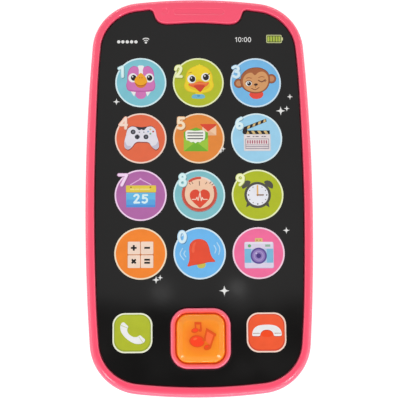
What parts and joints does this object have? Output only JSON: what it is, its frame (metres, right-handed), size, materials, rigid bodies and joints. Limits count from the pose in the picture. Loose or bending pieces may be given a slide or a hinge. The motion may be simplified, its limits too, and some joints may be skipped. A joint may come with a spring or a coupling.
{
  "type": "toy cell phone",
  "caption": "Toy cell phone with a raised-rim case, a glossy printed touch panel, a sprung home button, a slide switch, a speaker and a screwed battery door.",
  "frame": {"origin": "centre of the flat back, on the surface the phone lies on", "axes": "+Z out of the screen, +Y towards the top of the phone, +X to the right when facing the screen"},
  "size_m": [0.0844, 0.15, 0.0209],
  "materials": {
    "case_pink": "satin moulded plastic",
    "panel_print": "high gloss, printed",
    "button_orange": "satin moulded plastic",
    "film_clear": "printed polyester film",
    "silicone": "matt silicone",
    "board_laminate": "solder mask",
    "black_plastic": "satin",
    "capacitor_sleeve": "shrink sleeve",
    "ivory_plastic": "satin",
    "white_plastic": "satin",
    "steel": "plated",
    "nickel": "nickel plated spring strip",
    "magnet": "sintered",
    "speaker_paper": "pressed paper",
    "foam": "foam",
    "cell_sleeve": "shrink sleeve",
    "wire_red": "insulation",
    "wire_black": "insulation"
  },
  "bodies": {
    "case": {"front_housing": "case_pink", "rear_housing": "case_pink", "screen_panel": "panel_print", "touch_film": "film_clear", "home_button_dome": "silicone", "main_board": "board_laminate", "sound_chip": "black_plastic", "board_capacitor": "capacitor_sleeve", "film_connector": "ivory_plastic", "power_switch_body": "steel", "speaker_frame": "steel", "speaker_cone": "speaker_paper", "speaker_magnet": "magnet", "speaker_gasket": "foam", "battery_1": "cell_sleeve", "battery_2": "cell_sleeve", "contact_positive": "nickel", "contact_negative": "nickel", "contact_bridge": "nickel", "battery_spring_1": "steel", "battery_spring_2": "steel", "housing_screw_1": "steel", "housing_screw_2": "steel", "housing_screw_3": "steel", "housing_screw_4": "steel", "housing_screw_5": "steel", "housing_screw_6": "steel", "board_screw_1": "steel", "board_screw_2": "steel", "board_screw_3": "steel", "speaker_wire_red": "wire_red", "speaker_wire_black": "wire_black", "battery_wire_red": "wire_red", "battery_wire_black": "wire_black"},
    "home_button": {"home_button": "button_orange"},
    "power_switch": {"power_switch_knob": "white_plastic"},
    "door": {"battery_door": "case_pink"},
    "door_screw": {"door_screw": "steel"}
  },
  "joints": [
    {"name": "home_press", "type": "slide", "parent": "case", "child": "home_button", "axis": [0, 0, -1], "range_m": [0, 0.0012], "stiffness_N_per_m": 900, "springref_m": -0.0006, "deforming": ["home_button_dome"]},
    {"name": "power_slide", "type": "slide", "parent": "case", "child": "power_switch", "axis": [1, 0, 0], "range_m": [0, 0.004]},
    {"name": "door_off", "type": "slide", "parent": "case", "child": "door", "axis": [0, 0, -1], "range_m": [0, 0.035]},
    {"name": "door_screw_turn", "type": "hinge", "parent": "door", "child": "door_screw", "pos_m": [0, -0.0286, 0], "axis": [0, 0, -1], "range_deg": [0, 1440]}
  ]
}
